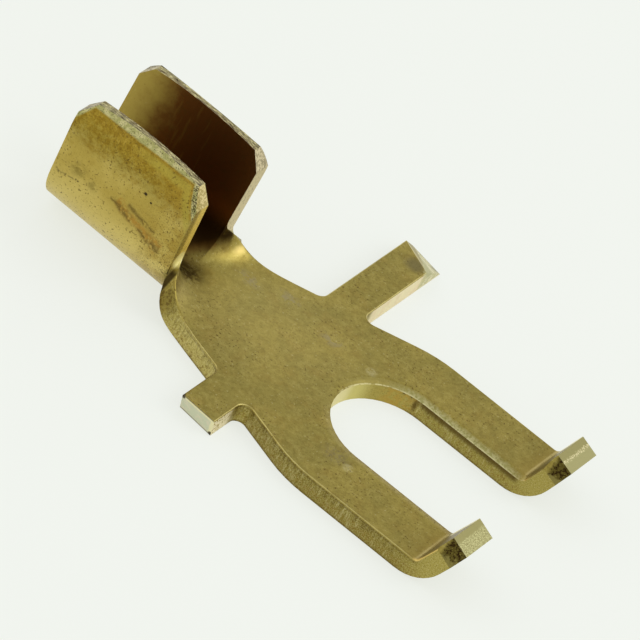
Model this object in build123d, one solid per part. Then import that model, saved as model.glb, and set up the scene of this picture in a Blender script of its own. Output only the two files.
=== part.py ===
"""Spade terminal: one blank of sheet brass, stamped and bent, kept as one solid.

Millimetres. +X runs towards the fork's tips, +Z to the side the tips and wings rise on.
The origin is on the sheet's underside, at the centre of the slot's round end.
"""
from build123d import *
from math import cos, exp, radians, sin, tan
import os

# Sheet, and how far blanking drew its upper edges down
sheet = 0.80
edge_roll = 0.07
slot_roll_width = 0.26
slot_roll_depth = 0.10
slot_roll_blend = 0.60

# Fork: the slot takes the screw, and its tips are turned up to hold the terminal under the head
slot_width = 4.50
fork_width = 9.44
tip_corner = 4.85
short_side_tip_angle = 65.5
long_side_tip_angle = 68.5
tip_length = 2.19
tip_outer_radius = 1.70
tip_inner_radius = 0.25
tip_taper_width = 0.40
tip_taper_length = 0.55

# Cross arm: what is left of the strip that carried the blanks, cropped short on one side
arm_front = -3.98
arm_width = 1.50
arm_root_radius = 0.34
short_arm_top = (5.54, 5.64)
short_arm_foot = (5.22, 5.40)
long_arm_top = (8.74, 7.98)
long_arm_foot = (9.75, 9.42)

# Flare from the cross arm out to the prongs
flare_inset = 1.02
flare_angle = 20.0
flare_rounding = 0.27

# Neck: narrows from the cross arm to the barrel and curls up on the way
neck_wide = 6.62
neck_narrow = 4.04
neck_root_radius = 0.40
curl_length = 2.75
curl_decay = 0.90
neck_swell = 0.11
notch_reach = 0.16
notch_inner_rise = 0.50
notch_outer_rise = 0.10
notch_depth = 0.42
notch_lean = 39.0

# Barrel: an open U for the wire, with coined wing tips
barrel_front = -9.22
barrel_length = 5.50
barrel_bore = 2.56
barrel_pitch = 1.3
wing_height = 5.56
wing_lean = 4.8
wing_front_shoulder = 4.71
wing_back_shoulder = 4.83
wing_corner = 0.46
wing_crown = 0.15
wing_land = 0.18
wing_coin = 1.29
wing_trim = 0.05

# Worked out from the sizes above
prong_side = fork_width / 2
slot_radius = slot_width / 2
flare_root = prong_side - flare_inset
flare_slope = flare_inset / sin(radians(flare_angle))
flare_radius = flare_rounding * flare_slope / tan(radians(flare_angle / 2))
arm_back = arm_front - arm_width
curl_end = barrel_front + curl_length
neck_slope = (neck_wide - neck_narrow) / 2 / (arm_back - barrel_front)
tip_reach = tip_corner + tip_length
bore_radius = barrel_bore / 2
outer_radius = bore_radius + sheet
tall = 3 * sheet + tip_length
same_place = sheet / 10


def neck_half(x):
    """half the blank's width at a place along the neck"""
    return neck_narrow / 2 + neck_slope * (x - barrel_front)


def make_outline():
    """the fork, flare, arm roots and neck seen from above, without the slot"""
    side = [
        (curl_end, neck_half(curl_end)),
        (arm_back, neck_half(arm_back)),
        (arm_back, prong_side),
        (arm_front, prong_side),
        (arm_front, flare_root),
        (arm_front + flare_slope * cos(radians(flare_angle)), prong_side),
        (tip_reach, prong_side),
    ]
    mirrored = [(x, -y) for x, y in reversed(side)]
    outline = make_face(Polyline(*side, *mirrored, close=True))
    for corner, radius in ((side[1], neck_root_radius), (side[4], arm_root_radius), (side[5], flare_radius)):
        ends = outline.vertices().filter_by(
            lambda v: abs(v.X - corner[0]) < same_place and abs(abs(v.Y) - corner[1]) < same_place)
        outline = fillet(ends, radius)
    return outline


def make_slot():
    """the slot's outline, open past the tips"""
    bar = Pos(tip_reach / 2, 0) * Rectangle(tip_reach, slot_width)
    return bar + Circle(slot_radius)


def make_side(tip_angle):
    """the flat sheet and its turned-up tip, seen from the side"""
    lean = Vector(cos(radians(tip_angle)), sin(radians(tip_angle)))
    across = Vector(-lean.Y, lean.X) * sheet
    foot = Vector(tip_corner, 0)
    heel = Vector(tip_corner - sheet * tan(radians(tip_angle / 2)), sheet)
    end = foot + lean * tip_length
    side = make_face(Polyline((curl_end, 0), foot, end, end + across, heel, (curl_end, sheet), close=True))
    side = fillet(side.vertices().sort_by_distance(foot)[0], tip_outer_radius)
    return fillet(side.vertices().sort_by_distance(heel)[0], tip_inner_radius)


def make_tip_corners(side, tip_angle):
    """the two wedges that the shears took off the corners of a tip"""
    lean = Vector(cos(radians(tip_angle)), 0, sin(radians(tip_angle)))
    tip_plane = Plane(origin=Vector(tip_corner, 0, 0) + lean * tip_length, x_dir=(0, 1, 0),
                      z_dir=(lean.Z, 0, -lean.X))
    wedges = []
    for edge, inward in ((prong_side, -1), (slot_radius, 1)):
        wedge = Polyline(
            (side * (edge - inward * sheet), sheet), (side * (edge - inward * sheet), -tip_taper_length),
            (side * edge, -tip_taper_length), (side * (edge + inward * tip_taper_width), 0),
            (side * (edge + inward * tip_taper_width), sheet), close=True)
        wedges.append(extrude(tip_plane * make_face(wedge), amount=2 * sheet, both=True))
    return wedges


def make_plate():
    """the flat of the fork and neck with its tips"""
    slab = Part()
    for side, tip_angle in ((-1, short_side_tip_angle), (1, long_side_tip_angle)):
        half = extrude(Plane.XZ * make_side(tip_angle), amount=-side * prong_side)
        for wedge in make_tip_corners(side, tip_angle):
            half -= wedge
        slab += half
    plate = slab & extrude(make_outline(), amount=tall)
    return plate - extrude(make_slot(), amount=tall)


def make_arm(side, foot_ends, top_ends):
    """one arm of the cross, with its sheared end leaning as it broke"""
    def layer(height, ends):
        back, front = ends
        root = neck_narrow / 2
        return Pos(0, 0, height) * make_face(Polyline(
            (arm_back, side * root), (arm_back, side * back),
            (arm_front, side * front), (arm_front, side * root), close=True))
    return loft([layer(0, foot_ends), layer(sheet, top_ends)], ruled=True)


def upper_face(blank):
    """the flat blank's upper face"""
    return blank.faces().filter_by(Axis.Z).sort_by(Axis.Z)[-1]


def runs_lengthwise(edge):
    """whether an edge runs more along the terminal than across it"""
    way = edge.tangent_at(0.5)
    return abs(way.X) > abs(way.Y)


def slot_edges(face, distance):
    """the straight edges beside the slot, at a distance from its middle"""
    return face.edges().filter_by(
        lambda edge: runs_lengthwise(edge) and abs(abs(edge.position_at(0.5).Y) - distance) < same_place)


def outline_edges(face):
    """the outer edges, without the cropped ends of the arms, the bend lines and the neck's end"""
    def drawn_down(edge):
        middle = edge.position_at(0.5)
        on_arm = arm_back - same_place < middle.X < arm_front + same_place
        return runs_lengthwise(edge) != on_arm and abs(middle.Y) > slot_radius + slot_roll_width + same_place
    return face.edges().filter_by(drawn_down)


def roll_edges(blank):
    """the blank with its upper edges drawn down round the slot and the outline"""
    upper = upper_face(blank)
    blank = chamfer(slot_edges(upper, slot_radius), slot_roll_width, slot_roll_depth, reference=upper)
    blank = fillet(slot_edges(upper_face(blank), slot_radius + slot_roll_width), slot_roll_blend)
    return fillet(outline_edges(upper_face(blank)), edge_roll)


def barrel_plane(share):
    """a plane across the barrel's front end, tilted by a share of the barrel's pitch"""
    pitch = radians(barrel_pitch * share)
    return Plane(origin=(barrel_front, 0, 0), x_dir=(0, 1, 0), z_dir=(cos(pitch), 0, -sin(pitch)))


def curl_shape(travel):
    """the curl's plane, inner radius, half angle and share of bend at a distance ahead of the barrel"""
    share = (1 - travel / curl_length) ** 2
    plane = Plane(origin=(barrel_front + travel, 0, 0), x_dir=(0, 1, 0), z_dir=barrel_plane(share).z_dir)
    inner = bore_radius / (exp(-travel / curl_decay) * share)
    return plane, inner, neck_half(barrel_front + travel) / inner, share


def curl_spot(inner, depth, angle):
    """a place in the curl's section, at a depth into the sheet and an angle from the middle"""
    return ((inner + depth) * sin(angle), sheet + inner - (inner + depth) * cos(angle))


def curl_section(travel):
    """the neck's curled section at a distance ahead of the barrel"""
    plane, inner, turn, share = curl_shape(travel)
    swell_peak = (2 / 3) ** 2 * (1 / 3)
    swollen = sheet + neck_swell * share ** 2 * (1 - share) / swell_peak
    left_foot, left_crease = curl_spot(inner, swollen, -turn), curl_spot(inner, 0, -turn)
    right_foot, right_crease = curl_spot(inner, swollen, turn), curl_spot(inner, 0, turn)
    section = make_face([
        ThreePointArc(left_foot, (0, 0), right_foot),
        Line(right_foot, right_crease),
        ThreePointArc(right_crease, (0, sheet), left_crease),
        Line(left_crease, left_foot),
    ])
    creases = [section.vertices().sort_by_distance(crease)[0] for crease in (left_crease, right_crease)]
    return plane * fillet(creases, edge_roll)


def notch_end(side):
    """where the notch's rounded root runs out on the neck's crease, and the way across the sheet there"""
    plane, inner, turn, _ = curl_shape(notch_reach)
    lean = radians(notch_lean)
    return plane.from_local_coords(curl_spot(inner, 0, side * turn)), Vector(0, side * cos(lean), -sin(lean))


def make_curl(flat_end):
    """the neck's curl from the flat sheet's end into the round of the barrel"""
    shares = (0, 0.05, 0.11, 0.18, 0.26, 0.36, 0.48, 0.62, 0.77, 0.91)
    curl = loft([curl_section(share * curl_length) for share in shares] + [flat_end])
    for side in (-1, 1):
        crease, across = notch_end(side)
        sheared = Plane(origin=crease, x_dir=across, z_dir=Vector(side, 0, 0).cross(across))
        curl -= sheared * Pos(0, 0, sheet) * Box(8 * sheet, 8 * sheet, 2 * sheet)
    return curl


def wing_spot(side, radius, along):
    """a place in a wing's section, at a radius from the bore's middle and a distance up the wing"""
    lean = radians(wing_lean)
    return (side * (radius * cos(lean) + along * sin(lean)),
            outer_radius - radius * sin(lean) + along * cos(lean))


def make_notch_root(side):
    """the rounded root between a wing's front edge and the neck's edge"""
    front = barrel_plane(1)
    crease, across = notch_end(side)
    layers = []
    for depth, rise in ((0, notch_inner_rise), (sheet - edge_roll, notch_outer_rise)):
        foot = front.from_local_coords(wing_spot(side, bore_radius + depth, -notch_depth))
        top = front.from_local_coords(wing_spot(side, bore_radius + depth, rise))
        ahead = crease + across * depth - Vector(0, 0, edge_roll / 2)
        layers.append(make_face([Line(ahead, foot), Line(foot, top), TangentArc(top, ahead, tangent=foot - top)]))
    return loft(layers, ruled=True)


def make_barrel():
    """the open U, its leaning wings and their coined tips"""
    lean = radians(wing_lean)
    rise = (wing_height + wing_trim - outer_radius + bore_radius * sin(lean)) / cos(lean)

    def wing(side):
        crest = wing_spot(side, bore_radius, rise)
        land_edge = wing_spot(side, bore_radius + wing_land, rise)
        coin_foot = wing_spot(side, outer_radius, rise - wing_coin)
        return [
            Line(wing_spot(side, bore_radius, 0), crest),
            Line(crest, land_edge),
            TangentArc(coin_foot, land_edge, tangent=(side * sin(lean), cos(lean))),
            Line(coin_foot, wing_spot(side, outer_radius, 0)),
        ]
    section = make_face(wing(1) + wing(-1) + [
        ThreePointArc(wing_spot(1, radius, 0), (0, outer_radius - radius), wing_spot(-1, radius, 0))
        for radius in (bore_radius, outer_radius)
    ])
    barrel = extrude(barrel_plane(1) * section, amount=-barrel_length)

    crown_edge = wing_height - wing_crown
    crown = ThreePointArc((-wing_corner, crown_edge), (-barrel_length / 2, wing_height),
                          (wing_corner - barrel_length, crown_edge))
    rim = Polyline(crown @ 1, (-barrel_length, wing_back_shoulder), (-barrel_length, -sheet), (0, -sheet),
                   (0, wing_front_shoulder), crown @ 0)
    front = barrel_plane(1)
    side_plane = Plane(origin=front.origin, x_dir=front.z_dir, z_dir=(0, -1, 0))
    return barrel & extrude(side_plane * make_face([crown, rim]), amount=wing_height, both=True)


def make_terminal():
    """the whole terminal as one solid"""
    arms = make_arm(-1, short_arm_foot, short_arm_top) + make_arm(1, long_arm_foot, long_arm_top)
    blank = roll_edges(make_plate() + arms)
    neck_end = blank.faces().sort_by(Axis.X)[0]
    return blank + make_curl(neck_end) + make_barrel() + make_notch_root(-1) + make_notch_root(1)


os.makedirs("parts", exist_ok=True)
terminal = make_terminal()
export_step(terminal, "parts/terminal.step")
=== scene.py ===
"""A brass spade terminal on a pale floor, seen from above its short arm."""
import math

import bpy
from mathutils import Matrix, Vector


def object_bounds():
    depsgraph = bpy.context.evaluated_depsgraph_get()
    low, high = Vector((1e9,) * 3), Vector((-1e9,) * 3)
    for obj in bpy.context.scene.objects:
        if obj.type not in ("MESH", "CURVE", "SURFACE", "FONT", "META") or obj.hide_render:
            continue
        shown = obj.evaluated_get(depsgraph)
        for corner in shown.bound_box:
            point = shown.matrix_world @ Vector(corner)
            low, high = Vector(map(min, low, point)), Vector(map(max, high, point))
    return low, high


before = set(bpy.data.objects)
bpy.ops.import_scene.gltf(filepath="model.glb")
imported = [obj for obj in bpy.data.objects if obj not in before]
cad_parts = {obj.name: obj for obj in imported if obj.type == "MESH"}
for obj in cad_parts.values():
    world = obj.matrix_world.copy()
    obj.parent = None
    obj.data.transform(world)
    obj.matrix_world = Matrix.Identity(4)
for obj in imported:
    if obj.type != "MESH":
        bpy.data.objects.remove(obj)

cad_box = [list(corner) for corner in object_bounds()]

MM = 0.001

# Camera: where it stands, what it looks at, how far it is rolled in degrees, then its lens, its sensor
# and the range that it sees, in millimetres
EYE = Vector((60.9, -201.8, 166.4)) * MM
TARGET = Vector((-5.0, 2.7, 0.4)) * MM
ROLL = 27.4
FOCAL_LENGTH = 438.0
SENSOR = 36.0
NEAREST = 10.0
FARTHEST = 2000.0

# Sky: its colour, and how strong it is at the horizon and overhead
SKY_COLOUR = (0.97, 0.98, 1.0)
SKY_AT_HORIZON = 1.15
SKY_OVERHEAD = 0.62

# Lamps: each one's name, the direction that it shines from, its distance and side in millimetres,
# and its watts
LAMPS = (("key", (0.75, 0.30, 0.80), 260, 160, 0.14),
         ("side", (-0.8, -0.3, 0.7), 300, 200, 0.06))

# Floor: the colour that it shows, the matt colour and roughness that take the shadow, the share of it
# that is seen evenly lit, then its side and how far it lies below the terminal in millimetres
FLOOR_COLOUR = (0.91, 0.935, 0.875)
FLOOR_MATT = (0.86, 0.89, 0.85)
FLOOR_ROUGHNESS = 0.9
FLOOR_GLOW = 0.75
FLOOR_SIZE = 800.0
FLOOR_GAP = 0.01

# Places on the terminal that the finish follows, in millimetres
SHEET = 0.80
FORK_SIDE = 4.72
SLOT_SIDE = 2.25
ARM_FRONT = -3.98
FLAT_BACK = -6.47
BARREL_FRONT = -9.18
BARREL_BACK = -14.72
BORE_MIDDLE = 2.08
BORE_RADIUS = 1.28
WING_LEAN = 0.084
WING_FRONT_SHOULDER = 4.71
WING_BACK_SHOULDER = 4.83
WING_CORNER = 0.46
WING_TOP = 5.56
TIP_BEND = 4.60

# The dark stain and painted shade in the hollow of the neck deepen from this place along this direction
HOLLOW_EDGE = (-9.25, 1.15, 1.53)
HOLLOW_SLOPE = (-0.729, 0.262, 0.633)

# The long arm's end turns pale from this place along this direction
CROP_EDGE = (-4.28, 8.22, 0)
CROP_SLOPE = (1.32, 1.0, 0)

# Marks: the middle of each one, its reach along x, y and z, and the share of its reach that it fills
# The first mark is a painted sheen over the middle of the flat
FLAT_SHEEN = ((-6.0, 0.5, SHEET), (5.5, 4.5, 2.0), 0.1)
PALE_SPOTS = (((-2.14, 1.73, SHEET), (0.28, 0.28, 0.3), 0.5),
              ((0.21, -3.13, SHEET), (0.27, 0.27, 0.3), 0.5))
FORK_SMUDGE = ((-0.4, -3.0, SHEET), (0.8, 0.6, 0.3), 0.2)
HAZES = (((-6.15, 2.05, SHEET), (0.75, 0.45, 0.3), 0.1),
         ((-3.96, 1.75, SHEET), (0.75, 0.45, 0.3), 0.1),
         ((-7.6, 1.5, SHEET), (0.75, 0.45, 0.3), 0.1))
NECK_SCUFF = ((-9.1, -0.4, 0.9), (0.8, 0.8, 0.5), 0.3)
SLOT_SMUDGE = ((-0.35, SLOT_SIDE, 0.42), (0.15, 0.3, 0.40), 0.2)
NECK_DULLED = ((-8.9, -2.3, 1.0), (1.0, 0.8, 0.9), 0.3)
NOTCH_LIP = ((-9.3, -2.1, 1.7), (0.35, 0.4, 0.5), 0.4)
NOTCH_GLINT = ((-9.17, -1.62, 2.1), (0.3, 0.42, 0.42), 0.5)
# Painted shade in the hollow's nook, then a painted gleam below it
HOLLOW_NOOK_SHADE = ((-9.08, 1.48, 1.97), (0.30, 0.42, 0.42), 0.5)
HOLLOW_GLEAM = ((-8.54, 1.95, 1.24), (0.30, 0.50, 0.26), 0.0)
WING_PATCHES = (((-13.7, -2.15, 2.85), (0.60, 0.4, 0.50), 0.1),
                ((-13.0, -2.13, 2.65), (0.32, 0.4, 0.32), 0.1))
WING_PITS = (((-11.07, -2.25, 3.97), (0.09, 0.09, 0.09), 0.5),
             ((-10.76, -2.23, 3.78), (0.06, 0.06, 0.06), 0.5))
ARM_BURRS = (((-5.46, -5.58, 0.72), (0.15, 0.25, 0.15), 0.6),
             ((-3.99, -5.45, 0.06), (0.15, 0.25, 0.15), 0.6))
CROP_TIP = ((-4.24, 9.34, 0.1), (0.25, 0.32, 0.30), 0.4)
# The last mark is painted shade before the long arm's slanted end
CROP_SHADE = ((-4.48, 7.95, 0.7), (0.60, 0.60, 0.5), 0.3)

# Strokes on the near wing's outer face: where each one starts and ends, as x and z, and its width
RUST_STROKE = ((-11.9, 2.86), (-9.85, 2.26), 0.34)
DARK_STROKES = (((-12.15, 2.82), (-9.84, 2.08), 0.17),
                ((-11.45, 3.06), (-10.25, 2.72), 0.17))
SCRATCH = ((-14.4, 2.26), (-13.55, 2.40), 0.09)

# How far a stroke swings from side to side, in millimetres, and how uneven it is, in its own widths
STROKE_WAVE = 0.6
STROKE_UNEVENNESS = 1.2

# How much of the noise it takes to turn a speck from faint to full
SPECK_FADE = 0.06

# Surface: how rough the rolled sheet is, how high its relief stands in millimetres, how strongly that
# shows, and how much coarse grain the relief has for its fine grain
SHEET_ROUGHNESS = 0.40
RELIEF_HEIGHT = 0.006
RELIEF_STRENGTH = 0.5
COARSE_GRAIN = 0.6

# Colours of the brass and of what has settled on it
OLIVE = (0.325, 0.264, 0.060)
GOLDEN = (0.430, 0.335, 0.073)
WARM = (0.330, 0.225, 0.042)
DEEP = (0.190, 0.143, 0.026)
CREAM = (0.72, 0.65, 0.33)
PALE = (0.90, 0.82, 0.47)
PALE_GREEN = (0.44, 0.42, 0.155)
BRIGHT = (0.80, 0.66, 0.23)
STAIN = (0.350, 0.225, 0.030)
RUST = (0.40, 0.205, 0.028)
BROWN = (0.115, 0.072, 0.015)
DARK_BROWN = (0.170, 0.065, 0.013)
BLACK_BROWN = (0.030, 0.016, 0.004)
RED_BROWN = (0.30, 0.095, 0.012)
SMOKE = (0.21, 0.17, 0.10)
SPECK = (0.070, 0.050, 0.020)
HAZE = (0.42, 0.36, 0.22)

# Colours of the sheared edges, and of the painted highlights along them
SHEARED = (0.415, 0.340, 0.082)
SHEARED_NEAR_FORK = (0.22, 0.168, 0.030)
SHEARED_FAR_FORK = (0.24, 0.20, 0.030)
SHEARED_NECK = (0.66, 0.56, 0.20)
RIM_HIGHLIGHT = (0.82, 0.71, 0.30)
BEND_HIGHLIGHT = (0.80, 0.58, 0.18)

# Colours along the slot
SLOT_GOLDEN = (0.46, 0.375, 0.090)
SLOT_CREAM = (0.74, 0.67, 0.24)
SLOT_AMBER = (0.50, 0.32, 0.06)
SLOT_EDGE = (0.42, 0.35, 0.105)
SLOT_HIGHLIGHT = (0.80, 0.74, 0.38)

# Colours of the barrel, its wings and the hollow in front of it
BORE = (0.42, 0.305, 0.066)
GLEAM = (0.90, 0.70, 0.25)
WING_GOLDEN = (0.52, 0.375, 0.075)
WING_OCHRE = (0.33, 0.212, 0.018)
WING_UMBER = (0.23, 0.135, 0.012)
WING_AMBER = (0.62, 0.44, 0.07)
WING_STRIPE = (0.45, 0.385, 0.065)
LAND = (0.33, 0.285, 0.165)
CORNER = (0.66, 0.58, 0.37)
NEAR_WING_EDGE = (0.86, 0.67, 0.165)
FAR_WING_EDGE = (0.72, 0.62, 0.36)
GLINT = (0.95, 0.88, 0.45)

# Colours of the turned-up tips
TIP_SMOOTH = (0.37, 0.335, 0.135)
TIP_TORN = (0.43, 0.40, 0.18)
TIP_FLECK = (0.74, 0.72, 0.36)
TIP_CORNER_SHADE = (0.095, 0.072, 0.014)
TIP_CORNER_FOOT = (0.26, 0.22, 0.06)
TIP_BACK_SHADE = (0.20, 0.15, 0.040)

# Colours of the cross arm's ends and of its front side
ARM_END = (0.64, 0.65, 0.46)
ARM_END_BUFF = (0.76, 0.69, 0.50)
ARM_SIDE = (0.86, 0.77, 0.50)
ARM_SIDE_ORANGE = (0.80, 0.62, 0.40)
CROP = (0.50, 0.48, 0.245)
CROP_PALE = (0.82, 0.76, 0.50)
CROP_GREY = (0.30, 0.28, 0.17)
PAINTED_CROP_SHADE = (0.175, 0.145, 0.055)


class Shader:
    """A material's node tree, with short calls for the few kinds of node that it needs."""

    def __init__(self, name):
        self.material = bpy.data.materials.new(name)
        self.material.use_nodes = True
        self.tree = self.material.node_tree
        self.surface = self.tree.nodes["Principled BSDF"]

    def plug(self, socket, value):
        """sets a socket to a number or colour, or links another socket to it"""
        if isinstance(value, bpy.types.NodeSocket):
            self.tree.links.new(value, socket)
        elif isinstance(value, tuple) and socket.type == "RGBA":
            socket.default_value = (*value, 1)
        elif value is not None:
            socket.default_value = value

    def maths(self, operation, first, second=None, third=None):
        """a number worked out from up to three others"""
        node = self.tree.nodes.new("ShaderNodeMath")
        node.operation = operation
        for socket, value in zip(node.inputs, (first, second, third)):
            self.plug(socket, value)
        return node.outputs[0]

    def vector_maths(self, operation, first, second=None):
        """a Vector and a Value worked out from one vector or two"""
        node = self.tree.nodes.new("ShaderNodeVectorMath")
        node.operation = operation
        self.plug(node.inputs[0], first)
        self.plug(node.inputs[1], second)
        return node.outputs

    def both(self, *masks):
        """where every mask holds"""
        joined = masks[0]
        for mask in masks[1:]:
            joined = self.maths("MULTIPLY", joined, mask)
        return joined

    def either(self, first, second):
        """where at least one of two masks holds"""
        return self.maths("MAXIMUM", first, second)

    def elsewhere(self, mask):
        """where the mask doesn't hold"""
        return self.maths("SUBTRACT", 1.0, mask)

    def step(self, source, low, high):
        """0 where source is at low or beyond, 1 at high or beyond, smooth between"""
        node = self.tree.nodes.new("ShaderNodeMapRange")
        node.interpolation_type = "SMOOTHSTEP"
        self.plug(node.inputs["Value"], source)
        node.inputs["From Min"].default_value = low
        node.inputs["From Max"].default_value = high
        return node.outputs["Result"]

    def band(self, source, low, high, soft):
        """1 between low and high, fading out over soft on each side"""
        return self.both(self.step(source, low - soft, low), self.step(source, high + soft, high))

    def blend(self, mask, first, second):
        """the second colour where the mask holds, the first elsewhere"""
        node = self.tree.nodes.new("ShaderNodeMix")
        node.data_type = "RGBA"
        for socket, value in zip((node.inputs[0], node.inputs[6], node.inputs[7]), (mask, first, second)):
            self.plug(socket, value)
        return node.outputs[2]

    def mix(self, mask, first, second):
        """the second number where the mask holds, the first elsewhere"""
        node = self.tree.nodes.new("ShaderNodeMix")
        for socket, value in zip((node.inputs[0], node.inputs[2], node.inputs[3]), (mask, first, second)):
            self.plug(socket, value)
        return node.outputs[0]

    def noise(self, place, lump, detail=3.0, roughness=0.5):
        """cloudy noise with lumps about this far across, in the units of place"""
        node = self.tree.nodes.new("ShaderNodeTexNoise")
        self.plug(node.inputs["Vector"], place)
        node.inputs["Scale"].default_value = 1 / lump
        node.inputs["Detail"].default_value = detail
        node.inputs["Roughness"].default_value = roughness
        return node.outputs["Fac"]

    def ragged(self, measure, pattern, amount):
        """a measure shaken by a pattern, so that a step along it has a ragged edge"""
        return self.maths("MULTIPLY_ADD", pattern, amount, measure)

    def stretch(self, place, factors):
        """a place with each of its axes scaled by its own factor"""
        return self.vector_maths("MULTIPLY", place, factors)["Vector"]

    def axes(self, vector):
        """a vector's three parts"""
        node = self.tree.nodes.new("ShaderNodeSeparateXYZ")
        self.plug(node.inputs[0], vector)
        return node.outputs

    def along(self, place, direction, start):
        """how far a place lies from start along a direction"""
        offset = self.vector_maths("SUBTRACT", place, start)["Vector"]
        return self.vector_maths("DOT_PRODUCT", offset, direction)["Value"]

    def bump(self, height, distance, strength):
        """a surface that seems to stand out by height times distance"""
        node = self.tree.nodes.new("ShaderNodeBump")
        node.inputs["Strength"].default_value = strength
        node.inputs["Distance"].default_value = distance
        self.plug(node.inputs["Height"], height)
        return node.outputs[0]


class Brass(Shader):
    """Old sheet brass, with a method for each part of the terminal that looks different."""

    def __init__(self):
        super().__init__("brass_sheet")
        self.colour = OLIVE
        self.rough = SHEET_ROUGHNESS
        self.take_measures()
        self.draw_patterns()
        self.find_regions()

    def take_measures(self):
        """where a place on the brass lies, in millimetres, and which way it faces"""
        nodes = self.tree.nodes
        self.place = self.stretch(nodes.new("ShaderNodeTexCoord").outputs["Object"], (1 / MM,) * 3)
        self.x, self.y, self.z = self.axes(self.place)
        facing = nodes.new("ShaderNodeNewGeometry").outputs["True Normal"]
        self.nx, self.ny, self.nz = self.axes(facing)
        self.endwise = self.maths("ABSOLUTE", self.nx)
        self.sidewise = self.maths("ABSOLUTE", self.ny)
        self.flatwise = self.maths("ABSOLUTE", self.nz)
        self.depth = self.barrel_depth()
        self.slot_gap = self.distance_from_slot()
        self.crown = self.crown_gap()

    def draw_patterns(self):
        """noises that several parts share, from the finest to the coarsest"""
        self.fine = self.noise(self.place, lump=0.045, detail=4.0, roughness=0.7)
        self.grain = self.noise(self.place, lump=0.11, detail=3.0, roughness=0.6)
        self.mottle = self.noise(self.place, lump=0.24, detail=3.0, roughness=0.65)
        self.cloud = self.noise(self.place, lump=0.60, detail=4.0, roughness=0.6)
        self.weather = self.noise(self.place, lump=2.1, detail=3.0, roughness=0.5)

    def find_regions(self):
        """the two sides, the blank's cut edges and the wings' outer faces"""
        self.near_side = self.step(self.y, 0.3, -0.3)
        self.far_side = self.elsewhere(self.near_side)
        self.sheared = self.both(self.step(self.flatwise, 0.42, 0.30),
                                 self.step(self.x, BARREL_FRONT - 0.19, BARREL_FRONT + 0.01),
                                 self.step(self.z, 1.9, 1.6))
        self.wings = self.both(self.step(self.x, BARREL_FRONT + 0.05, BARREL_FRONT - 0.05),
                               self.step(self.depth, 0.15, 0.30))

    def barrel_depth(self):
        """how far a place lies outside the bore's wall, which is round below and leans out above"""
        above = self.maths("SUBTRACT", self.z, BORE_MIDDLE)
        round_part = self.maths("MINIMUM", above, 0.0)
        straight = self.maths("MAXIMUM", above, 0.0)
        across = self.maths("MULTIPLY", self.y, self.y)
        out = self.maths("SQRT", self.maths("MULTIPLY_ADD", round_part, round_part, across))
        wall = self.maths("MULTIPLY_ADD", straight, WING_LEAN, BORE_RADIUS)
        return self.maths("SUBTRACT", out, wall)

    def distance_from_slot(self):
        """how far a place lies outside the slot, seen from above"""
        behind = self.maths("MINIMUM", self.x, 0.0)
        across = self.maths("MULTIPLY", self.y, self.y)
        out = self.maths("SQRT", self.maths("MULTIPLY_ADD", behind, behind, across))
        return self.maths("SUBTRACT", out, SLOT_SIDE)

    def crown_gap(self):
        """how far a place lies below the wings' upper rim, which is cropped at both corners"""
        gap = self.maths("SUBTRACT", WING_TOP, self.z)
        corners = ((BARREL_BACK, WING_BACK_SHOULDER, 1), (BARREL_FRONT, WING_FRONT_SHOULDER, -1))
        for end, shoulder, inwards in corners:
            rise = WING_TOP - shoulder
            slant = math.hypot(WING_CORNER, rise)
            direction = (inwards * rise / slant, 0, -WING_CORNER / slant)
            gap = self.maths("MINIMUM", gap, self.along(self.place, direction, (end, 0, shoulder)))
        return gap

    def spot(self, centre, reach, full):
        """1 around centre, fading from the share full of the way out to nothing at reach"""
        offset = self.vector_maths("SUBTRACT", self.place, centre)["Vector"]
        scaled = self.stretch(offset, tuple(1 / r for r in reach))
        return self.step(self.vector_maths("LENGTH", scaled)["Value"], 1.0, full)

    def stroke(self, start, end, width):
        """1 along a ragged stroke on the near wing's outer face, from start to end given as x and z"""
        run = (end[0] - start[0], end[1] - start[1])
        length = math.hypot(*run)
        origin = (start[0], 0, start[1])
        lengthwise = self.along(self.place, (run[0] / length, 0, run[1] / length), origin)
        beside = self.along(self.place, (-run[1] / length, 0, run[0] / length), origin)
        wave = self.maths("MULTIPLY_ADD", self.cloud, STROKE_WAVE, -STROKE_WAVE / 2)
        aside = self.maths("ABSOLUTE", self.maths("ADD", beside, wave))
        edge = self.ragged(aside, self.mottle, STROKE_UNEVENNESS * width)
        outer = self.both(self.near_side, self.step(self.depth, 0.55, 0.70))
        return self.both(outer, self.band(lengthwise, 0.0, length, 0.1),
                         self.step(edge, 1.6 * width, 0.5 * width))

    def streaks(self, closeness, detail, roughness):
        """noise drawn out into streaks along the axes where its lumps lie less close"""
        return self.noise(self.stretch(self.place, closeness), 1.0, detail, roughness)

    def thin(self, mask, cover):
        """a mask that covers only a share of what lies under it"""
        return mask if cover == 1.0 else self.maths("MULTIPLY", mask, cover)

    def coat(self, mask, colour, cover=1.0, rough=None):
        """lays a colour, and a roughness if given, over what is there"""
        mask = self.thin(mask, cover)
        self.colour = self.blend(mask, self.colour, colour)
        if rough is not None:
            self.rough = self.mix(mask, self.rough, rough)

    def speckle(self, mask, colour, rarity, pattern=None, cover=1.0):
        """scatters a colour over a part of the mask; a larger rarity leaves fewer specks"""
        pattern = self.fine if pattern is None else pattern
        specks = self.both(self.thin(mask, cover), self.step(pattern, rarity, rarity + SPECK_FADE))
        self.coat(specks, colour)

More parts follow.
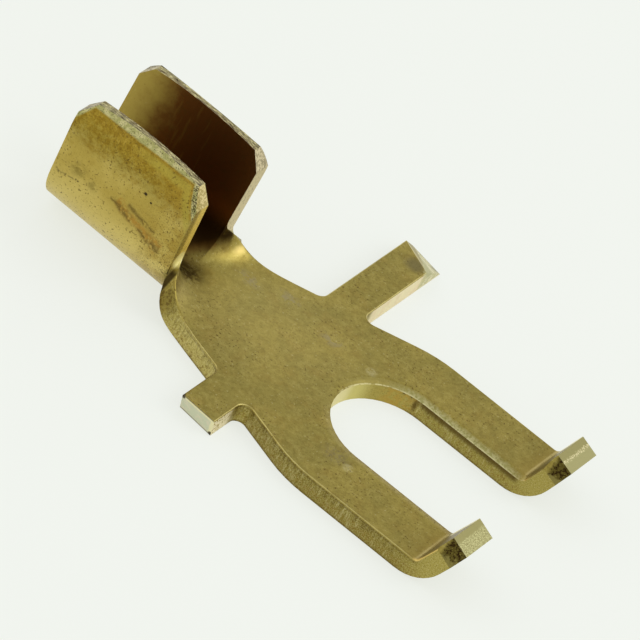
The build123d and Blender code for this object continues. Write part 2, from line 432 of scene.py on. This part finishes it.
    def flat_sheet(self):
        """the rolled surface: clouds of olive and gold, fine mottling, dark pits and pale flecks"""
        self.coat(self.step(self.weather, 0.36, 0.66), GOLDEN, cover=0.60)
        self.coat(self.step(self.cloud, 0.46, 0.72), WARM, cover=0.40)
        self.coat(self.step(self.mottle, 0.48, 0.66), DEEP, cover=0.32)
        self.coat(self.step(self.mottle, 0.48, 0.34), BRIGHT, cover=0.10)
        self.coat(self.step(self.grain, 0.52, 0.66), DEEP, cover=0.30)
        self.coat(self.step(self.fine, 0.53, 0.66), DEEP, cover=0.50)
        holes = self.noise(self.place, lump=0.10, detail=1.5, roughness=0.4)
        crowd = self.noise(self.place, lump=1.3, detail=2.0, roughness=0.5)
        pits = self.both(self.step(holes, 0.63, 0.70), self.step(crowd, 0.36, 0.62))
        self.coat(pits, BROWN, cover=0.75, rough=0.6)
        self.coat(self.step(holes, 0.33, 0.27), CREAM, cover=0.26)

    def wing_outside(self):
        """the wings' outer faces, golden, with a painted reflection of the floor that makes them brighter
        low down
        """
        self.coat(self.both(self.wings, self.step(self.z, 4.9, 3.6)), WING_GOLDEN, cover=0.70)
        # painted reflection of the floor, brighter low down
        self.coat(self.both(self.wings, self.step(self.z, 3.0, 1.4)), BRIGHT, cover=0.48)
        self.coat(self.both(self.wings, self.step(self.weather, 0.42, 0.60)), BRIGHT, cover=0.20)

    def wing_tarnish(self):
        """orange and brown over the wings' outer faces, towards the top and towards the front"""
        height = self.ragged(self.ragged(self.z, self.cloud, 1.9), self.mottle, 0.8)
        high = self.step(height, 5.0, 6.4)
        self.coat(self.both(self.wings, high), WING_OCHRE, cover=0.82)
        self.coat(self.both(self.wings, high, self.step(self.mottle, 0.44, 0.60)), WING_UMBER, cover=0.55)
        self.coat(self.both(self.wings, high, self.step(self.grain, 0.50, 0.38)), WING_AMBER, cover=0.22)
        front = self.step(self.x, -11.5, -9.4)
        self.coat(self.both(self.wings, front, self.step(self.cloud, 0.36, 0.58)), STAIN, cover=0.60)
        self.speckle(self.both(self.wings, self.either(high, front)), BROWN, rarity=0.54, cover=0.50)
        self.speckle(self.wings, BROWN, rarity=0.59, cover=0.30)

    def wing_stripe(self):
        """the olive stripe below the wings' upper rim, and dark points all over their outer faces"""
        below_rim = self.both(self.step(self.crown, 0.20, 0.30), self.step(self.crown, 0.62, 0.42))
        stripe = self.both(self.wings, below_rim, self.step(self.x, -12.6, -11.0))
        self.coat(stripe, WING_STRIPE, cover=0.45)
        holes = self.noise(self.place, lump=0.085, detail=1.5, roughness=0.4)
        points = self.both(self.wings, self.step(holes, 0.63, 0.69), self.step(self.weather, 0.34, 0.54))
        self.coat(points, BROWN, cover=0.75)

    def wing_stains(self):
        """the near wing's dull patches, rust between two dark strokes, a scratch and two pits"""
        for patch in WING_PATCHES:
            self.coat(self.both(self.spot(*patch), self.step(self.mottle, 0.36, 0.56)), DEEP, cover=0.55)
        rust = self.stroke(*RUST_STROKE)
        self.coat(self.both(rust, self.step(self.grain, 0.30, 0.52)), RUST, cover=0.75)
        self.coat(self.both(rust, self.step(self.mottle, 0.50, 0.60)), BROWN, cover=0.45)
        for line in DARK_STROKES:
            self.coat(self.both(self.stroke(*line), self.step(self.mottle, 0.36, 0.52)), BROWN, cover=0.8)
        scratch = self.stroke(*SCRATCH)
        self.coat(self.both(scratch, self.step(self.grain, 0.36, 0.54)), SPECK, cover=0.7)
        for pit in WING_PITS:
            self.coat(self.spot(*pit), SPECK, rough=0.7)

    def barrel_inside(self):
        """the wings' inner faces: dark with tarnish in front, redder low down, golden at the back"""
        bore = self.both(self.step(self.depth, 0.10, 0.06),
                         self.step(self.x, BARREL_FRONT + 0.3, BARREL_FRONT))
        inner = self.both(bore, self.either(self.step(self.z, 1.2, 1.8), self.step(self.x, -9.6, -10.3)))
        self.coat(inner, BORE, cover=0.8)
        edge = self.ragged(self.x, self.cloud, 1.6)
        tarnish = self.both(bore, self.step(self.hollow_level(), -0.30, 0.15),
                            self.step(edge, BARREL_BACK + 1.3, BARREL_BACK + 3.0))
        self.coat(tarnish, DARK_BROWN, rough=0.45)
        scratches = self.streaks((7.0, 7.0, 0.35), detail=2.0, roughness=0.6)
        middle = self.band(self.x, -12.9, -11.3, soft=0.6)
        self.coat(self.both(tarnish, self.step(scratches, 0.54, 0.68), middle), WARM, cover=0.22)
        self.coat(self.both(tarnish, self.step(self.mottle, 0.50, 0.66)), BROWN, cover=0.30)
        low = self.both(tarnish, self.step(self.z, 3.4, 2.2), self.step(self.x, -11.0, -9.8))
        self.coat(low, RED_BROWN, cover=0.6)

    def sheared_edges(self):
        """the blank's cut edges, darker along the fork and paler along the neck"""
        self.coat(self.sheared, SHEARED, rough=0.55)
        fork = self.both(self.sheared, self.step(self.x, -4.2, -2.6), self.step(self.x, 5.0, 3.4))
        self.coat(self.both(fork, self.near_side), SHEARED_NEAR_FORK, cover=0.68)
        far_fork = self.both(fork, self.far_side, self.step(self.x, -0.4, 0.4))
        self.coat(far_fork, SHEARED_FAR_FORK, cover=0.34)
        neck = self.both(self.sheared, self.step(self.x, -5.2, -5.6), self.step(self.x, -8.6, -7.2))
        self.coat(neck, SHEARED_NECK, cover=0.42)

    def shear_marks(self):
        """streaks near the top of the cut edges, torn and browner metal towards their bottom"""
        straight = self.step(self.x, 4.2, 3.2)
        streaks = self.streaks((9.0, 9.0, 1.8), detail=4.0, roughness=0.7)
        torn = self.noise(self.place, lump=0.10, detail=3.0, roughness=0.7)
        burnished = self.step(self.ragged(self.z, self.mottle, 0.30), 0.50, 0.70)
        below = self.elsewhere(burnished)
        self.coat(self.both(self.sheared, self.step(torn, 0.45, 0.62), below), WARM, cover=0.7)
        self.coat(self.both(self.sheared, self.step(torn, 0.54, 0.66), below), BROWN, cover=0.45)
        grooves = self.both(self.sheared, self.step(streaks, 0.46, 0.62), burnished, straight)
        self.coat(grooves, BROWN, cover=0.50)
        self.coat(self.both(self.sheared, self.step(streaks, 0.48, 0.34), straight), CREAM, cover=0.30)
        self.speckle(self.sheared, BROWN, rarity=0.56, cover=0.6)
        self.coat(self.both(self.sheared, self.step(self.fine, 0.47, 0.42)), CREAM, cover=0.30)
        self.coat(self.both(self.sheared, self.step(self.z, 0.12, 0.03)), BROWN, cover=0.5)

    def neck_edge(self):
        """the neck's cut edge and the notch above it, dark where the metal was pulled in"""
        dull = self.both(self.spot(*NECK_DULLED), self.step(self.nz, 0.70, 0.55))
        self.coat(dull, DEEP, cover=0.70)
        self.coat(self.both(dull, self.step(self.grain, 0.46, 0.60)), BROWN, cover=0.8)
        root = self.both(self.band(self.x, -9.08, -8.94, soft=0.09), self.step(self.z, 0.9, 1.15),
                         self.step(self.z, 1.85, 1.65), self.step(self.y, -1.65, -1.85))
        self.coat(root, BLACK_BROWN, cover=0.9)
        lip = self.both(self.spot(*NOTCH_LIP), self.step(self.x, -9.10, -9.16))
        self.speckle(lip, BROWN, rarity=0.52, pattern=self.grain, cover=0.5)

    def rim_highlight_and_crease_shade(self):
        """a painted highlight along the thin line where the outer edge rolls over, and painted shade in the
        crease under it
        """
        edge = self.both(self.step(self.x, FLAT_BACK - 1.6, FLAT_BACK - 0.6),
                         self.step(self.z, SHEET - 0.16, SHEET - 0.10),
                         self.step(self.z, SHEET + 0.5, SHEET + 0.1),
                         self.step(self.slot_gap, 0.30, 0.36))
        uneven = self.step(self.cloud, 0.90, 0.40)
        roll_highlight = self.both(edge, self.step(self.nz, 0.60, 0.72), self.step(self.nz, 0.97, 0.90))
        # painted highlight along the rolled edge
        self.coat(self.both(roll_highlight, uneven), RIM_HIGHLIGHT, cover=0.50, rough=0.45)
        # painted shade in the crease under the rolled edge
        crease = self.both(edge, self.step(self.nz, 0.35, 0.25), self.step(self.x, 4.6, 4.2))
        self.coat(self.both(crease, uneven), BROWN, cover=0.40)

    def bend_highlight(self):
        """a painted golden highlight along the line where the fork's edges turn up with the tips"""
        near = self.both(self.step(self.y, 0.14 - FORK_SIDE, 0.06 - FORK_SIDE),
                         self.step(self.x, -3.0, -2.6))
        far = self.both(self.step(self.slot_gap, 0.10, 0.03), self.far_side)
        bend = self.both(self.either(near, far), self.step(self.x, 3.9, 4.3),
                         self.step(self.z, 0.75, 0.82), self.step(self.endwise, 0.02, 0.10))
        # painted highlight along the bend
        self.coat(self.both(bend, self.step(self.nx, 0.1, -0.1)), BEND_HIGHLIGHT, cover=0.75)

    def slot_wall(self):
        """the slot's wall: cream at its round end, golden, then olive with a dark upper edge"""
        wall = self.both(self.sheared, self.step(self.slot_gap, 0.10, 0.05), self.step(self.x, 4.3, 4.0))
        smooth = self.both(wall, self.step(self.x, -0.3, -0.9))
        self.coat(smooth, SLOT_GOLDEN, cover=0.85)
        self.speckle(smooth, BROWN, rarity=0.54, cover=0.35)
        self.coat(self.both(wall, self.step(self.x, -1.65, -2.10)), SLOT_CREAM, cover=0.75)
        self.coat(self.both(wall, self.step(self.x, -2.10, -2.25)), PALE, cover=0.7)
        shade = self.both(wall, self.step(self.x, -0.9, 0.2), self.step(self.z, 0.40, 0.62))
        self.coat(shade, BROWN, cover=0.85)
        line = self.both(wall, self.step(self.x, -1.7, -1.0), self.step(self.z, 0.58, 0.70))
        self.coat(self.both(line, self.step(self.mottle, 0.62, 0.40)), BROWN, cover=0.8)
        amber = self.both(wall, self.band(self.x, -1.2, -0.6, soft=0.5), self.step(self.mottle, 0.40, 0.60))
        self.coat(amber, SLOT_AMBER, cover=0.6)
        smudge = self.both(self.spot(*SLOT_SMUDGE), self.step(self.grain, 0.30, 0.50))
        self.coat(smudge, BROWN, cover=0.8)

    def slot_rim_and_highlight(self):
        """the slot's upper edge: on the far side a pale band of painted highlight with brown specks and a
        painted highlight along the edge, a thin line elsewhere
        """
        upper = self.both(self.step(self.nz, 0.5, 0.7), self.step(self.x, TIP_BEND, 4.0))
        rounded = self.both(upper, self.step(self.slot_gap, 0.29, 0.25),
                            self.step(self.slot_gap, -0.05, 0.0),
                            self.step(self.x, 0.4, -0.4), self.step(self.y, 0.0, 1.2))
        self.coat(rounded, SLOT_EDGE, cover=0.5)
        edge = self.ragged(self.slot_gap, self.mottle, 0.20)
        # painted highlight over the far side's rounded rim
        band = self.both(upper, self.step(edge, 0.42, 0.14), self.far_side, self.step(self.x, -1.7, -0.2))
        self.coat(band, PALE_GREEN, cover=0.85, rough=0.45)
        self.coat(self.both(band, self.step(self.grain, 0.42, 0.58)), CREAM, cover=0.6)
        self.speckle(band, BROWN, rarity=0.58, cover=0.6)
        line = self.both(upper, self.step(self.slot_gap, 0.055, 0.035))
        # painted highlight along the far edge
        far_highlight = self.both(line, self.far_side, self.step(self.mottle, 0.66, 0.46))
        self.coat(far_highlight, SLOT_HIGHLIGHT, cover=0.7)
        self.coat(self.both(line, self.near_side, self.step(self.x, -1.5, -0.5)), STAIN, cover=0.7)

    def wing_band(self):
        """the coined band along the wings' upper rim, pale and speckled, more so at the front"""
        edge = self.ragged(self.crown, self.mottle, -0.10)
        beyond_bore = self.both(self.step(self.depth, 0.12, 0.20), self.step(self.z, 4.2, 4.4))
        band = self.both(self.step(edge, 0.14, 0.06), beyond_bore)
        self.coat(band, PALE_GREEN, rough=0.55)
        self.coat(self.both(band, self.step(self.mottle, 0.56, 0.40)), CREAM, cover=0.65)
        self.speckle(band, SPECK, rarity=0.56)
        self.speckle(self.both(band, self.step(self.x, -9.9, -9.6)), SPECK, rarity=0.47)

    def wing_land(self):
        """the narrow land on top of the wings, with cream and dark streaks along it"""
        land = self.both(self.step(self.nz, 0.80, 0.90), self.step(self.z, WING_TOP - 0.3, WING_TOP - 0.2))
        streaks = self.streaks((3.5, 16.0, 16.0), detail=3.0, roughness=0.7)
        self.coat(land, LAND, cover=0.75, rough=0.55)
        self.coat(self.both(land, self.step(streaks, 0.52, 0.60)), CREAM)
        self.coat(self.both(land, self.step(streaks, 0.44, 0.37)), SPECK)
        self.speckle(land, SPECK, rarity=0.58)

    def wing_corners(self):
        """the cropped corners at the top of the wings, pale beside the bore and speckled further out"""
        corner = self.both(self.step(self.z, WING_FRONT_SHOULDER - 0.1, WING_FRONT_SHOULDER),
                           self.step(self.endwise, 0.45, 0.6), self.step(self.nz, 0.2, 0.35))
        self.coat(corner, CORNER, rough=0.5)
        self.speckle(corner, SMOKE, rarity=0.47, pattern=self.grain, cover=0.8)
        self.speckle(corner, SPECK, rarity=0.56)
        self.speckle(self.both(corner, self.step(self.depth, 0.25, 0.5)), SPECK, rarity=0.48)

    def wing_edges(self):
        """the wings' front and back edges, the near wing's bright beside the bore and browner outside"""
        end = self.both(self.step(self.endwise, 0.80, 0.92),
                        self.step(self.x, BARREL_FRONT + 0.35, BARREL_FRONT + 0.15))
        near = self.both(end, self.near_side, self.step(self.z, 1.75, 1.95))
        self.coat(near, NEAR_WING_EDGE, rough=0.60)
        self.speckle(near, WARM, rarity=0.56, cover=0.7)
        self.coat(self.both(near, self.step(self.grain, 0.48, 0.62)), GOLDEN, cover=0.45)
        outer = self.both(near, self.step(self.depth, 0.34, 0.56))
        self.coat(outer, GOLDEN, cover=0.85, rough=0.5)
        self.speckle(outer, BROWN, rarity=0.50, cover=0.8)
        self.coat(self.spot(*NOTCH_GLINT), GLINT, cover=0.9)
        far = self.both(end, self.far_side, self.step(self.z, 1.45, 1.60), self.step(self.ny, -0.35, -0.15))
        self.coat(far, FAR_WING_EDGE, rough=0.5)
        self.speckle(far, SMOKE, rarity=0.56, pattern=self.grain, cover=0.5)

    def tips(self):
        """the turned-up ends: smooth behind and torn in front, with a glint between on the far one"""
        end = self.both(self.step(self.x, TIP_BEND + 0.1, TIP_BEND + 0.3), self.step(self.nz, 0.80, 0.86))
        self.coat(end, TIP_SMOOTH, rough=0.42)
        edge = self.ragged(self.x, self.grain, 0.25)
        torn = self.both(end, self.step(edge, 5.36, 5.44))
        self.coat(torn, TIP_TORN, rough=0.5)
        self.speckle(self.both(torn, self.near_side), TIP_FLECK, rarity=0.50, cover=0.6)
        self.coat(self.both(torn, self.near_side, self.step(self.fine, 0.44, 0.39)), DEEP, cover=0.65)
        glint = self.both(end, self.far_side, self.band(edge, 5.32, 5.40, soft=0.04))
        self.speckle(glint, PALE, rarity=0.47, cover=0.8)

    def tip_corner_shade(self):
        """the tips' cropped corners, with painted shade above and olive at the foot"""
        corner = self.both(self.step(self.x, TIP_BEND + 0.3, TIP_BEND + 0.5),
                           self.step(self.flatwise, 0.68, 0.55),
                           self.step(self.nz, 0.20, 0.30), self.step(self.ny, -0.3, -0.6))
        # painted shade over the cropped corners
        self.coat(corner, TIP_CORNER_SHADE, rough=0.35)
        self.speckle(corner, BLACK_BROWN, rarity=0.48, pattern=self.grain)
        self.speckle(corner, OLIVE, rarity=0.57, cover=0.6)
        foot = self.step(self.ragged(self.z, self.mottle, 0.5), 2.02, 1.92)
        self.coat(self.both(corner, foot), TIP_CORNER_FOOT, cover=0.8)

    def tip_back_shade_and_highlight(self):
        """the tips' backs, with painted shade and then a painted highlight at the far end of each"""
        behind = self.both(self.step(self.nx, -0.4, -0.6), self.step(self.z, 0.9, 1.2),
                           self.step(self.x, 4.0, 4.2))
        far_end_highlight = self.either(self.step(self.y, 3.95, 4.15),
                               self.both(self.near_side, self.step(self.y, -3.05, -2.85)))
        # painted shade over the tips' backs
        self.coat(behind, TIP_BACK_SHADE, cover=0.75)
        # painted highlight at their far ends
        self.coat(self.both(behind, far_end_highlight), PALE, cover=0.9, rough=0.5)

    def near_arm_end(self):
        """the short arm's cropped end, pale between dark lines, with two burrs"""
        end = self.both(self.step(self.y, -5.0, -5.15), self.step(self.sidewise, 0.6, 0.8))
        self.coat(end, ARM_END, rough=0.42)
        self.coat(self.both(end, self.step(self.mottle, 0.46, 0.62)), ARM_END_BUFF, cover=0.7)
        rim = self.either(self.step(self.z, 0.64, 0.70),
                          self.step(self.x, ARM_FRONT - 0.18, ARM_FRONT - 0.10))
        self.coat(self.both(end, rim), PALE, cover=0.8)
        self.coat(self.both(end, self.step(self.z, 0.75, 0.77)), SPECK, cover=0.8)
        self.coat(self.both(end, self.step(self.z, 0.10, 0.03)), SMOKE, cover=0.7)
        for burr in ARM_BURRS:
            self.coat(self.spot(*burr), SPECK)

    def arm_side(self):
        """the cross arm's pale front side on both sides of the fork"""
        beyond_fork = self.step(self.maths("ABSOLUTE", self.y), FORK_SIDE - 0.5, FORK_SIDE - 0.1)
        front = self.both(self.sheared, self.step(self.nx, 0.7, 0.9), beyond_fork,
                          self.step(self.x, ARM_FRONT + 0.2, ARM_FRONT + 0.1))
        root = self.both(self.sheared, self.step(self.y, 4.5, 4.8),
                         self.band(self.x, ARM_FRONT - 0.1, ARM_FRONT + 0.3, 0.1))
        side = self.either(front, root)
        self.coat(side, ARM_SIDE, rough=0.6)
        orange = self.both(side, self.far_side, self.step(self.cloud, 0.46, 0.60))
        self.coat(orange, ARM_SIDE_ORANGE, cover=0.35)
        self.speckle(self.both(side, self.near_side), GOLDEN, rarity=0.54, pattern=self.grain)
        self.speckle(self.both(side, self.near_side), BROWN, rarity=0.62, cover=0.6)

    def far_arm_end(self):
        """the long arm's slanted end, pale and streaked with cream, grey at its tip, with painted shade
        before it at its root
        """
        crop = self.along(self.place, CROP_SLOPE, CROP_EDGE)
        edge = self.ragged(self.maths("SUBTRACT", crop, 0.25), self.mottle, 0.5)
        far = self.both(self.step(self.y, 7.4, 7.7), self.step(self.z, 0.0, 0.1))
        cropped = self.both(far, self.step(edge, -0.08, 0.16))
        self.coat(cropped, CROP, rough=0.5)
        self.coat(self.both(cropped, self.step(self.mottle, 0.50, 0.62)), CREAM, cover=0.7)
        low = self.both(far, self.step(crop, -0.05, 0.05), self.step(self.z, 0.52, 0.36))
        self.coat(self.both(low, self.step(self.mottle, 0.58, 0.42)), CROP_PALE, cover=0.85)
        self.coat(self.spot(*CROP_TIP), CROP_GREY, cover=0.6)
        # painted shade before the slanted end
        self.coat(self.both(self.spot(*CROP_SHADE), self.step(crop, 0.05, -0.10)), PAINTED_CROP_SHADE, cover=0.75)

    def painted_sheen_and_shade(self):
        """a painted sheen over the middle of the flat and painted shade over its front"""
        self.coat(self.spot(*FLAT_SHEEN), BRIGHT, cover=0.11)
        # painted shade, darker towards the fork's tips
        front = self.both(self.step(self.x, 0.5, 4.0), self.step(self.z, 1.2, 1.0),
                          self.step(self.nz, 0.9, 0.99))
        self.coat(front, DEEP, cover=0.10)

    def marks(self):
        """pale spots, a smudge and hazes on the flat"""
        for spot in PALE_SPOTS:
            self.coat(self.both(self.spot(*spot), self.step(self.grain, 0.30, 0.56)), CREAM, cover=0.34)
        smudge = self.both(self.spot(*FORK_SMUDGE), self.step(self.grain, 0.35, 0.6))
        self.coat(smudge, SMOKE, cover=0.40)
        for haze in HAZES:
            self.coat(self.both(self.spot(*haze), self.step(self.mottle, 0.42, 0.58)), HAZE, cover=0.40)

    def neck_scuff(self):
        """the brown scuff with pale lines where the neck runs into the barrel"""
        scuff = self.spot(*NECK_SCUFF)
        self.coat(self.both(scuff, self.step(self.mottle, 0.38, 0.54)), BROWN, cover=0.80)
        lines = self.streaks((4.0, 9.0, 9.0), detail=2.0, roughness=0.5)
        self.coat(self.both(scuff, self.step(lines, 0.62, 0.68)), CREAM, cover=0.5)

    def tip_bends(self):
        """the warmer upper side of the bends below the tips"""
        bend = self.both(self.step(self.x, 3.4, 4.6), self.step(self.z, 2.0, 1.2),
                         self.step(self.nz, 0.5, 0.8))
        self.coat(bend, WARM, cover=0.55)

    def hollow_level(self):
        """how far a place lies up the slope of the stain and painted shade in the neck, with a ragged edge
        """
        return self.ragged(self.along(self.place, HOLLOW_SLOPE, HOLLOW_EDGE), self.mottle, 0.16)

    def hollow(self):
        """a dark stain, deepened with painted shade, where the far side of the neck curls up into the
        barrel, with painted shade in a nook and a painted gleam
        """
        level = self.hollow_level()
        bore = self.both(self.step(self.depth, 0.10, 0.06),
                         self.step(self.x, BARREL_FRONT + 0.1, BARREL_FRONT))
        curl = self.both(self.step(self.nz, 0.05, 0.15), self.step(self.depth, 0.60, 0.40),
                         self.either(self.step(self.z, 1.98, 1.90), self.step(self.nx, 0.97, 0.93)))
        around = self.both(self.step(self.z, 2.9, 1.75), self.step(self.y, 0.2, 0.6),
                           self.step(self.x, -11.0, -9.9))
        stain = self.both(self.either(bore, curl), around, self.step(self.ny, 0.0, -0.15))
        # dark stain and painted shade over the hollow
        self.coat(self.both(stain, self.step(level, -0.62, -0.06)), BROWN, cover=0.75)
        self.coat(self.both(stain, self.step(level, -0.18, 0.20)), BLACK_BROWN, cover=0.92)
        # painted shade in the nook
        nook_shade = self.both(self.spot(*HOLLOW_NOOK_SHADE), self.step(self.ny, -0.10, -0.30))
        self.coat(nook_shade, BLACK_BROWN, cover=0.88)
        # painted gleam
        self.coat(self.spot(*HOLLOW_GLEAM), GLEAM, cover=0.55)

    def finish(self):
        """joins colour, roughness and a fine relief to the surface"""
        self.plug(self.surface.inputs["Base Color"], self.colour)
        self.plug(self.surface.inputs["Roughness"], self.rough)
        self.surface.inputs["Metallic"].default_value = 1.0
        relief = self.ragged(self.fine, self.grain, COARSE_GRAIN)
        normal = self.bump(relief, RELIEF_HEIGHT * MM, RELIEF_STRENGTH)
        self.plug(self.surface.inputs["Normal"], normal)
        return self.material


def make_brass():
    """the whole finish; each coat lies over the ones before it"""
    brass = Brass()
    brass.flat_sheet()
    brass.wing_outside()
    brass.wing_tarnish()
    brass.wing_stripe()
    brass.wing_stains()
    brass.barrel_inside()
    brass.sheared_edges()
    brass.shear_marks()
    brass.neck_edge()
    brass.rim_highlight_and_crease_shade()
    brass.bend_highlight()
    brass.slot_wall()
    brass.slot_rim_and_highlight()
    brass.wing_band()
    brass.wing_land()
    brass.wing_corners()
    brass.wing_edges()
    brass.tips()
    brass.tip_corner_shade()
    brass.tip_back_shade_and_highlight()
    brass.near_arm_end()
    brass.arm_side()
    brass.far_arm_end()
    brass.painted_sheen_and_shade()
    brass.marks()
    brass.neck_scuff()
    brass.tip_bends()
    brass.hollow()
    return brass.finish()


def make_floor_material():
    """matt, but mostly showing its own pale colour, so that only a faint part of the shadow is left"""
    floor = Shader("pale_floor")
    nodes = floor.tree.nodes
    floor.plug(floor.surface.inputs["Base Color"], FLOOR_MATT)
    floor.surface.inputs["Roughness"].default_value = FLOOR_ROUGHNESS
    floor.surface.inputs["Specular IOR Level"].default_value = 0.0
    glow = nodes.new("ShaderNodeEmission")
    floor.plug(glow.inputs["Color"], FLOOR_COLOUR)
    rays = nodes.new("ShaderNodeLightPath").outputs
    seen = floor.either(rays["Is Camera Ray"], rays["Is Glossy Ray"])
    seen = floor.either(seen, rays["Is Transmission Ray"])
    cover = nodes.new("ShaderNodeMixShader")
    floor.plug(cover.inputs[0], floor.maths("MULTIPLY", seen, FLOOR_GLOW))
    floor.plug(cover.inputs[1], floor.surface.outputs[0])
    floor.plug(cover.inputs[2], glow.outputs[0])
    floor.plug(nodes["Material Output"].inputs["Surface"], cover.outputs[0])
    return floor.material


def make_floor():
    """one square, just below the terminal"""
    half = FLOOR_SIZE / 2 * MM
    height = cad_box[0][2] - FLOOR_GAP * MM
    corners = [(-half, -half, height), (half, -half, height), (half, half, height), (-half, half, height)]
    mesh = bpy.data.meshes.new("floor")
    mesh.from_pydata(corners, [], [(0, 1, 2, 3)])
    mesh.materials.append(make_floor_material())
    piece = bpy.data.objects.new("floor", mesh)
    bpy.context.scene.collection.objects.link(piece)


def make_lamp(name, direction, distance, size, watts):
    """a square soft lamp that shines at the terminal from a direction"""
    lamp = bpy.data.lights.new(name, "AREA")
    lamp.size = size * MM
    lamp.energy = watts
    holder = bpy.data.objects.new(name, lamp)
    towards = Vector(direction).normalized()
    holder.location = TARGET + towards * distance * MM
    holder.rotation_euler = towards.to_track_quat("Z", "Y").to_euler()
    bpy.context.scene.collection.objects.link(holder)


def make_sky():
    """an even pale sky that is brighter low down"""
    world = bpy.data.worlds.new("studio")
    bpy.context.scene.world = world
    world.use_nodes = True
    tree = world.node_tree
    height = tree.nodes.new("ShaderNodeSeparateXYZ")
    tree.links.new(tree.nodes.new("ShaderNodeTexCoord").outputs["Generated"], height.inputs[0])
    fade = tree.nodes.new("ShaderNodeMapRange")
    fade.inputs["To Min"].default_value = SKY_AT_HORIZON
    fade.inputs["To Max"].default_value = SKY_OVERHEAD
    tree.links.new(height.outputs["Z"], fade.inputs["Value"])
    background = tree.nodes["Background"]
    background.inputs["Color"].default_value = (*SKY_COLOUR, 1)
    tree.links.new(fade.outputs["Result"], background.inputs["Strength"])


def make_camera():
    """a long lens that looks down at the terminal over its short arm"""
    camera = bpy.data.cameras.new("camera")
    camera.lens = FOCAL_LENGTH
    camera.sensor_width = SENSOR
    camera.clip_start = NEAREST * MM
    camera.clip_end = FARTHEST * MM
    holder = bpy.data.objects.new("camera", camera)
    looking = (TARGET - EYE).to_track_quat("-Z", "Y").to_matrix().to_4x4()
    holder.matrix_world = Matrix.Translation(EYE) @ looking @ Matrix.Rotation(math.radians(ROLL), 4, "Z")
    bpy.context.scene.collection.objects.link(holder)
    bpy.context.scene.camera = holder


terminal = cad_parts["terminal"]
terminal.material_slots[0].material = make_brass()
make_floor()
make_sky()
for lamp in LAMPS:
    make_lamp(*lamp)
make_camera()
bpy.context.scene.view_settings.view_transform = "Standard"
